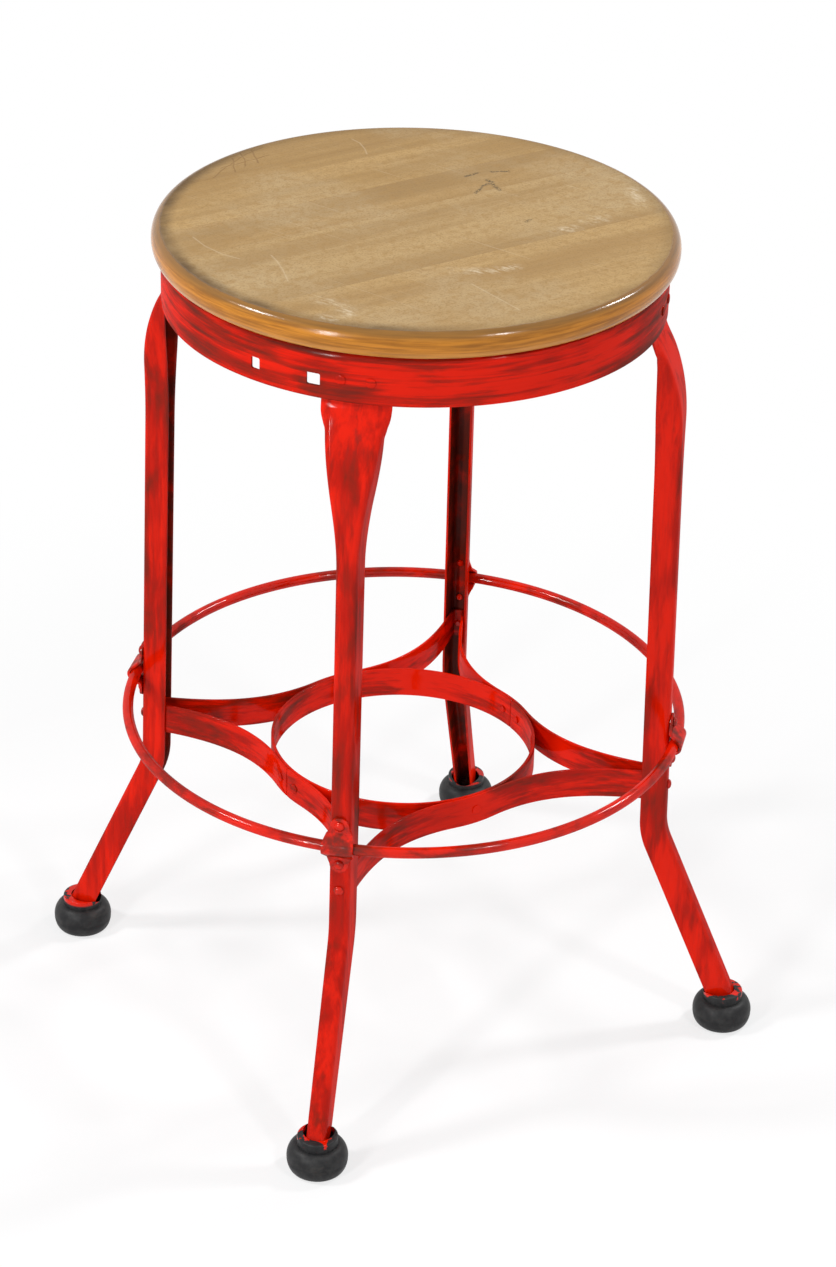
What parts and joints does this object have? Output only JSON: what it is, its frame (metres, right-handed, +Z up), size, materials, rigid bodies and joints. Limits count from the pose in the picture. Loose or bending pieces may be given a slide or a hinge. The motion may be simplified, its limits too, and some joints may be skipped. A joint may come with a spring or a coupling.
{
  "type": "industrial stool",
  "caption": "Round wooden seat on a riveted sheet-steel frame with a rolled apron, splayed channel legs, a rod foot ring, a bowed strap brace and rubber feet.",
  "frame": {"origin": "on the floor, under the centre of the seat", "axes": "+Z up; the four legs stand on the axes: front leg at -Y, right leg at +X, back leg at +Y, left leg at -X"},
  "size_m": [0.5346, 0.5346, 0.607],
  "materials": {
    "seat_wood": "worn varnish",
    "red_paint": "gloss paint, brushed on",
    "foot_rubber": "satin",
    "plain_steel": "bare"
  },
  "bodies": {
    "root": {"apron": "red_paint", "apron_rivet_back_1": "red_paint", "apron_rivet_back_2": "red_paint", "apron_rivet_front_1": "red_paint", "apron_rivet_front_2": "red_paint", "apron_rivet_left_1": "red_paint", "apron_rivet_left_2": "red_paint", "apron_rivet_right_1": "red_paint", "apron_rivet_right_2": "red_paint", "brace_ring": "red_paint", "brace_ring_rivet_1": "red_paint", "brace_ring_rivet_2": "red_paint", "brace_ring_rivet_3": "red_paint", "brace_ring_rivet_4": "red_paint", "brace_ring_rivet_5": "red_paint", "brace_ring_rivet_6": "red_paint", "brace_rivet_back": "red_paint", "brace_rivet_front": "red_paint", "brace_rivet_left": "red_paint", "brace_rivet_right": "red_paint", "brace_strap": "red_paint", "clip_rivet_back_1": "red_paint", "clip_rivet_back_2": "red_paint", "clip_rivet_front_1": "red_paint", "clip_rivet_front_2": "red_paint", "clip_rivet_left_1": "red_paint", "clip_rivet_left_2": "red_paint", "clip_rivet_right_1": "red_paint", "clip_rivet_right_2": "red_paint", "foot_ring": "red_paint", "foot_washer_back": "plain_steel", "foot_washer_front": "plain_steel", "foot_washer_left": "plain_steel", "foot_washer_right": "plain_steel", "leg_back": "red_paint", "leg_front": "red_paint", "leg_left": "red_paint", "leg_right": "red_paint", "ring_clip_back": "red_paint", "ring_clip_front": "red_paint", "ring_clip_left": "red_paint", "ring_clip_right": "red_paint", "rubber_foot_back": "foot_rubber", "rubber_foot_front": "foot_rubber", "rubber_foot_left": "foot_rubber", "rubber_foot_right": "foot_rubber", "seat_board_1": "seat_wood", "seat_board_2": "seat_wood", "seat_board_3": "seat_wood", "seat_board_4": "seat_wood", "seat_board_5": "seat_wood", "seat_screw_1": "plain_steel", "seat_screw_2": "plain_steel", "seat_screw_3": "plain_steel", "seat_screw_4": "plain_steel"}
  },
  "joints": []
}
